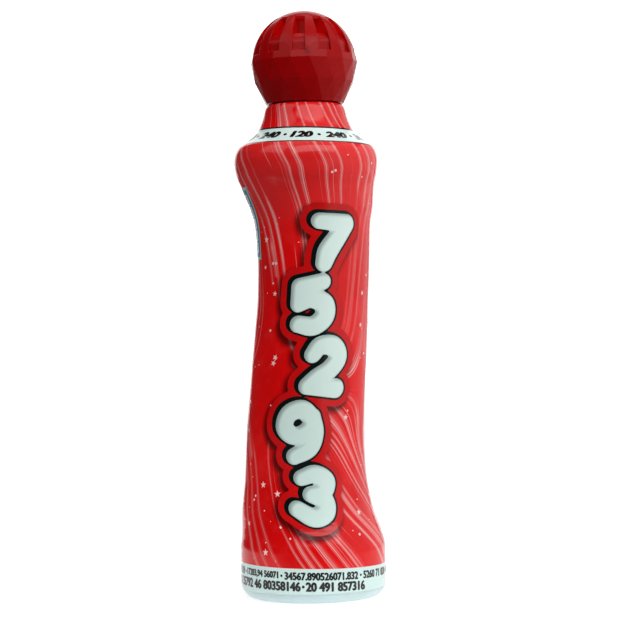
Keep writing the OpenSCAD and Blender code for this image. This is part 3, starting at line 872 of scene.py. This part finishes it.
# a ball above, and a wider drum below that the facets are cut from
sphere_rings = [(BALL_R * math.cos(a), BALL_Z + BALL_R * math.sin(a)) for a in np.radians(np.arange(16, 90, 2.0))]
prof = [(0.0, 127.0), (MID_R + 0.5, 127.0), (MID_R + 0.5, BALL_Z), (14.05, 141.6), (13.66, 142.8)] + sphere_rings + [(0.0, BALL_Z + BALL_R)]
v, f = lathe(prof, 216)
bm = bmesh.new()
made = [bm.verts.new(p) for p in v]
for q in f:
    bm.faces.new([made[i] for i in q])
bm.normal_update()
planes = []
for k in range(18):
    j, h = (k + 1) % 18, (k - 1) % 18
    planes += [(mid_a[k], mid_a[j], low_b[k]), (low_b[h], low_b[k], mid_a[k]),
               (low_b[k], low_b[j], low_c[j]), (low_c[k], low_c[j], low_b[k]),
               (mid_a[k], mid_a[j], top_u[k])]
inner_pt = Vector((0, 0, 138.0))
for a, b, c in planes:
    n = (b - a).cross(c - a).normalized()
    if (inner_pt - a).dot(n) > 0:
        n = -n
    geom = list(bm.verts) + list(bm.edges) + list(bm.faces)
    cut = bmesh.ops.bisect_plane(bm, geom=geom, dist=1e-4, plane_co=a, plane_no=n, clear_outer=True)
    ring_edges = [e for e in cut["geom_cut"] if isinstance(e, bmesh.types.BMEdge)]
    if ring_edges:
        bmesh.ops.edgenet_fill(bm, edges=ring_edges)
geom = list(bm.verts) + list(bm.edges) + list(bm.faces)
cut = bmesh.ops.bisect_plane(bm, geom=geom, dist=1e-4, plane_co=(0, 0, 129.48), plane_no=(0, 0, -1), clear_outer=True)
bmesh.ops.edgenet_fill(bm, edges=[e for e in cut["geom_cut"] if isinstance(e, bmesh.types.BMEdge)])
bmesh.ops.remove_doubles(bm, verts=bm.verts, dist=0.004)
bmesh.ops.recalc_face_normals(bm, faces=bm.faces)
print("ball open edges", sum(1 for e in bm.edges if not e.is_manifold), "faces", len(bm.faces))
bm.transform(Matrix.Scale(MM, 4))
cap_me = bpy.data.meshes.new("cap_ball")
bm.to_mesh(cap_me)
bm.free()
cap_ob = bpy.data.objects.new("cap_ball", cap_me)
bpy.context.scene.collection.objects.link(cap_ob)
cap_me.materials.append(cap_mat)

# pockets between the ribs, and the inside
voids = []
# floor, rounded shoulder of the back wall, foot, then up outside the ball and back under the crown
cut_prof = [(2.2, 146.7), (9.6, 146.5), (10.0, 146.78), (10.3, 146.84), (10.6, 146.76), (10.9, 146.5), (11.25, 146.24), (11.65, 145.95), (12.0, 145.6), (12.22, 145.2),
            (12.36, 144.8), (12.5, 144.4), (12.78, 142.25), (12.9, 142.12), (13.05, 142.08), (16.5, 142.08),
            (16.5, 157.0), (7.7, 157.0), (7.7, 151.1), (7.5, 150.9), (2.2, 150.9)]
for k in range(12):
    a = math.radians(POCKET0 - 90 + 30 * k)
    rows = []
    vv = []
    for s in (-1, 1):
        for r, z in cut_prof:
            h = s * (0.467 + 0.092 * r)
            vv.append((r * math.cos(a) - h * math.sin(a), r * math.sin(a) + h * math.cos(a), z))
    n = len(cut_prof)
    ff = [tuple(range(n)), tuple(range(2 * n - 1, n - 1, -1))]
    ff += [(i, n + i, n + (i + 1) % n, (i + 1) % n) for i in range(n)]
    voids.append((vv, ff))
inner_prof = rounded([(0.0, 127.5), (9.6, 127.5), (9.6, 129.9), (9.35, 130.15), (9.35, 137.0), (8.6, 137.0), (8.6, 144.6), (8.1, 145.1), (4.0, 145.6), (0.0, 145.7)], 0.12, 2, closed=False)
voids.append(lathe(inner_prof, 144))
v, f = merge(*voids)
cutter = obj("cap_voids", v, f, None, None)
bm = bmesh.new()
bm.from_mesh(cutter.data)
bmesh.ops.recalc_face_normals(bm, faces=bm.faces)
bm.to_mesh(cutter.data)
bm.free()
mod = cap_ob.modifiers.new("pockets", "BOOLEAN")
mod.operation, mod.object, mod.solver = "DIFFERENCE", cutter, "EXACT"
done = bpy.data.meshes.new_from_object(cap_ob.evaluated_get(bpy.context.evaluated_depsgraph_get()))
cap_ob.modifiers.clear()
cap_ob.data = done
bpy.data.objects.remove(cutter)
bm = bmesh.new()
bm.from_mesh(done)
bmesh.ops.remove_doubles(bm, verts=bm.verts, dist=0.000004)
bmesh.ops.dissolve_degenerate(bm, edges=bm.edges, dist=0.000004)
print("cap open edges", sum(1 for e in bm.edges if not e.is_manifold), "faces", len(bm.faces))
# threads inside
for s in (0, 180):
    tv, tf = ridge(9.35, 8.7, 130.5, s + 57.6, 0.74, 1.1)
    vs = [bm.verts.new(Vector(p) * MM) for p in tv]
    for q in tf:
        bm.faces.new([vs[i] for i in q])
bm.to_mesh(done)
bm.free()
done.materials.clear()
done.materials.append(cap_mat)
done.polygons.foreach_set("use_smooth", [True] * len(done.polygons))
done.polygons.foreach_set("material_index", [0] * len(done.polygons))
done.set_sharp_from_angle(angle=math.radians(7))
cap_ob.data.name = "cap_ball"
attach(cap_ob, "cap")
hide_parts("cap")


# ---------------------------------------------------------------- valve and tip
def fabric_material():
    g = G("tip_fabric", Roughness=0.85, Sheen_Weight=0.25, Sheen_Roughness=0.5)
    p = g.here()
    x, y, z = g.xyz(p)
    a = g.math("ARCTAN2", y, x)
    rad = g.math("SQRT", x * x + y * y)
    wale = g.math("SINE", a * 46.0)
    course = g.math("SINE", (z * 1.0 + rad * -0.9) * 11.0 + g.math("ABSOLUTE", wale) * 1.6)
    knit = wale * 0.5 + course * 0.5
    stain = g.noise(p, 0.35, 4.0, 0.6)
    colour = g.mix(g.step(stain, 0.3, 0.75), lin(150, 14, 26), lin(196, 44, 56))
    # painted shade: darker in the grooves of the knit
    colour = g.mix(g.step(knit, 0.1, -0.9) * 0.55, colour, lin(88, 6, 14))
    return g.set(Base_Color=colour, Normal=g.bump(knit, 0.00012, 0.9))


def foam_material():
    g = G("pad_foam", Roughness=0.9)
    p = g.here()
    cells = g.node("ShaderNodeTexVoronoi", out="Distance", inputs={"Vector": p, "Scale": 3.0})
    # painted shade: darker in the middle of each cell, where the bump makes a pit
    return g.set(Base_Color=g.mix(g.step(cells, 0.15, 0.5), lin(202, 150, 130), lin(236, 214, 190)), Normal=g.bump(cells, 0.0002, 0.8))


def natural_material():
    g = G("natural_plastic", Roughness=0.38, IOR=1.5, Subsurface_Weight=0.3, Subsurface_Radius=(1, 1, 0.9), Subsurface_Scale=0.0015)
    p = g.here()
    return g.set(Base_Color=g.mix(g.noise(p, 0.4, 3.0), lin(226, 226, 216), lin(240, 240, 233)), Normal=g.bump(g.noise(p, 4.0, 2.0), 0.00003, 0.4))


natural = natural_material()
white_pl = plain("white_plastic", lin(238, 239, 238), 0.3, IOR=1.5)
steel = plain("spring_steel", (0.6, 0.61, 0.63, 1), 0.22, Metallic=1.0)
seal_mat = plain("seal_foam", lin(232, 233, 230), 0.75)
ink_mat = plain("ink", (0.25, 0.004, 0.008, 1), 0.1, IOR=1.34)
fabric, foam_mat = fabric_material(), foam_material()


def dress(node, material, width=0.00012, angle=38):
    """A CAD node with its finish and softened edges."""
    ob = bpy.data.objects[node] if node in bpy.data.objects else frame["nodes"][node]
    ob.data.materials.clear()
    ob.data.materials.append(material)
    ob.data.polygons.foreach_set("use_smooth", [True] * len(ob.data.polygons))
    ob.data.polygons.foreach_set("material_index", [0] * len(ob.data.polygons))
    w = ob.modifiers.new("weld", "WELD")
    w.merge_threshold = 0.000002
    if width:
        b = ob.modifiers.new("edges", "BEVEL")
        b.width, b.segments, b.limit_method, b.angle_limit = width, 2, "ANGLE", math.radians(angle)
    e = ob.modifiers.new("split", "EDGE_SPLIT")
    e.split_angle = math.radians(32)
    return ob


dress("valve_housing", natural)
dress("spring_cage", natural)
dress("pad_carrier", natural, 0.0001)
dress("valve_stem", white_pl, 0.0001)
dress("cap_seal", seal_mat, 0.0001)
dress("ink_fill", ink_mat, 0)

# spring as a smooth round wire with closed end coils
low, high, closed, coils = 122.5 + 0.27, 129.8 - 0.27, 0.53, 6
mid_rise = (high - low - 2 * closed) / (coils - 2)
sv, sf, per, k = [], [], 40, 14
n = per * coils
for i in range(n + 1):
    t = i / per
    z = low + closed * t if t < 1 else high - closed * (coils - t) if t > coils - 1 else low + closed + mid_rise * (t - 1)
    a = 2 * math.pi * t
    for j in range(k):
        b = 2 * math.pi * j / k
        r = 3.4 + 0.25 * math.cos(b)
        sv.append((r * math.cos(a), r * math.sin(a), z + 0.25 * math.sin(b)))
for i in range(n):
    for j in range(k):
        sf.append((i * k + j, (i + 1) * k + j, (i + 1) * k + (j + 1) % k, i * k + (j + 1) % k))
sf += [tuple(range(k)), tuple(range(n * k + k - 1, n * k - 1, -1))]
spring = obj("valve_coil", sv, sf, steel, "body")
sharp(spring, 50)
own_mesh(spring)
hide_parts("valve_spring")

# foam and knitted cover
def dome(r, top, z0, steps=14):
    return [(r * math.cos(a), z0 + (top - z0) * math.sin(a)) for a in np.linspace(0, math.pi / 2, steps)][:-1] + [(0.0, top)]


v, f = lathe([(0.0, 138.4), (6.3, 138.4), (6.5, 138.6)] + dome(6.52, 144.42, 140.0), 96)
foam = obj("foam_pad", v, f, foam_mat, "tip")
sharp(foam, 60)
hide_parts("tip_foam")
outer_c = [(7.07, 137.65), (7.1, 138.5)] + dome(7.1, 145.0, 140.0)
inner_c = [(6.62, 137.65), (6.6, 138.5)] + dome(6.6, 144.5, 140.0)
vo, fo = lathe(outer_c, 128)
vi, fi = lathe(inner_c, 128)
fi = [q[::-1] for q in fi]
off = len(vo)
cv = list(vo) + list(vi)
cf = list(fo) + [tuple(off + i for i in q) for q in fi]
for i in range(128):
    j = (i + 1) % 128
    cf.append((off + i, off + j, j, i))
cover = obj("knit_cover", cv, cf, fabric, "tip")
sharp(cover, 60)
mid_c = [((a[0] + b[0]) / 2, (a[1] + b[1]) / 2) for a, b in zip(outer_c, inner_c)]
area = sum(math.pi * (a[0] + b[0]) * math.hypot(a[0] - b[0], a[1] - b[1]) for a, b in zip(mid_c, mid_c[1:])) * 1e-6
side_l = 2 * math.sqrt(area / math.pi)
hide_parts("tip_cover")
v, f = lathe(rounded([(7.1, 137.6), (7.7, 137.6), (7.7, 139.6), (7.1, 139.6)], 0.2, 4), 128, closed=True)
ring = obj("crimp_ring", v, f, white_pl, "tip")
sharp(ring, 50)
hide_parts("clamp_ring")

# ---------------------------------------------------------------- studio
def floor_material():
    """A white paper sweep under and behind the object, on a grey studio floor."""
    g = G("studio_white", Roughness=0.95, Specular_IOR_Level=0.0)
    x, y, z = g.xyz(g.here())
    half = (y + 60.0) * 0.2 + 105.0
    sweep = g.step(y, -85.0, -52.0) * g.step(g.math("ABSOLUTE", x) - half, 45.0, 0.0)
    wing = g.step(x + y * 0.25, 40.0, 150.0)
    lit = g.math("MAXIMUM", sweep, wing)
    return g.set(Base_Color=g.mix(lit, (0.13, 0.13, 0.135, 1), (0.6, 0.6, 0.6, 1)), Emission_Color=(1, 1, 1, 1),
                 Emission_Strength=g.math("MAXIMUM", sweep * 0.62, wing * 0.1))


floor_mat = floor_material()
back_mat = plain("studio_back", (0.9, 0.9, 0.9, 1), 0.9, Emission_Color=(1, 1, 1, 1), Emission_Strength=1.08)
v, f = lathe([(0.0, -0.02), (2.5, -0.02)], 64)
floor = obj("floor", v, f, floor_mat, None, scale=1.0)
floor.location.z = 0.0
floor.data.transform(Matrix.Translation((0, 0, 0.02)))
wall_v, wall_f = [], []
na = 48
for i in range(na + 1):
    a = math.radians(62 + 56 * i / na)
    for z in (0.0, 1.9):
        wall_v.append((1.9 * math.cos(a), 1.9 * math.sin(a), z))
for i in range(na):
    wall_f.append((2 * i, 2 * i + 2, 2 * i + 3, 2 * i + 1))
wall = obj("backdrop", wall_v, wall_f, back_mat, None, scale=1.0)


def area_light(name, loc, aim, size, size_y, power, colour=(1, 1, 1)):
    li = bpy.data.lights.new(name, "AREA")
    li.shape, li.size, li.size_y, li.energy, li.color = "RECTANGLE", size, size_y, power, colour
    ob = bpy.data.objects.new(name, li)
    bpy.context.scene.collection.objects.link(ob)
    ob.location = loc
    ob.rotation_mode = "QUATERNION"
    ob.rotation_quaternion = (Vector(aim) - Vector(loc)).to_track_quat("-Z", "Y")
    return ob


def panel(name, loc, aim, size, size_y, radiance):
    return area_light(name, loc, aim, size, size_y, radiance * math.pi * size * size_y)


panel("soft_over", (0.15, -0.1, 1.15), (0, 0, 0.05), 1.5, 1.4, 0.8)
panel("soft_front", (0.26, -0.95, 0.95), (0, 0, 0.08), 1.6, 0.6, 3.4)
panel("soft_fill", (-0.85, -0.5, 0.95), (0, 0, 0.08), 0.9, 0.7, 1.7)
panel("soft_right", (0.92, -0.45, 0.42), (0, 0, 0.1), 1.5, 1.3, 0.86)
panel("soft_back_right", (0.86, 0.56, 0.3), (0, 0, 0.12), 0.9, 0.9, 0.95)

world = bpy.data.worlds.new("studio")
bpy.context.scene.world = world
world.use_nodes = True
world.node_tree.nodes["Background"].inputs["Color"].default_value = (0.9, 0.95, 1.0, 1)
world.node_tree.nodes["Background"].inputs["Strength"].default_value = 0.05

# ---------------------------------------------------------------- camera
cam_data = bpy.data.cameras.new("camera")
cam_data.sensor_width = 36.0
cam_data.sensor_fit = "HORIZONTAL"
cam_data.lens = 1955.0 / 620 * 36
cam_data.clip_start, cam_data.clip_end = 0.05, 20.0
cam = bpy.data.objects.new("camera", cam_data)
bpy.context.scene.collection.objects.link(cam)
bpy.context.scene.camera = cam
yaw, pitch, roll = 0.000891584, 0.008096361, -0.019090831
fwd = Vector((math.sin(yaw) * math.cos(pitch), math.cos(yaw) * math.cos(pitch), math.sin(pitch)))
right = Vector((math.cos(yaw), -math.sin(yaw), 0.0))
up = right.cross(fwd)
r2 = right * math.cos(roll) + up * math.sin(roll)
u2 = -right * math.sin(roll) + up * math.cos(roll)
m = Matrix((r2, u2, -fwd)).transposed().to_4x4()
m.translation = Vector((-0.0001, -0.515866, 0.071))
cam.matrix_world = m

scene = bpy.context.scene
scene.view_settings.view_transform = "Standard"
scene.view_settings.look = "None"
scene.view_settings.exposure = 0.0
scene.view_settings.gamma = 1.0
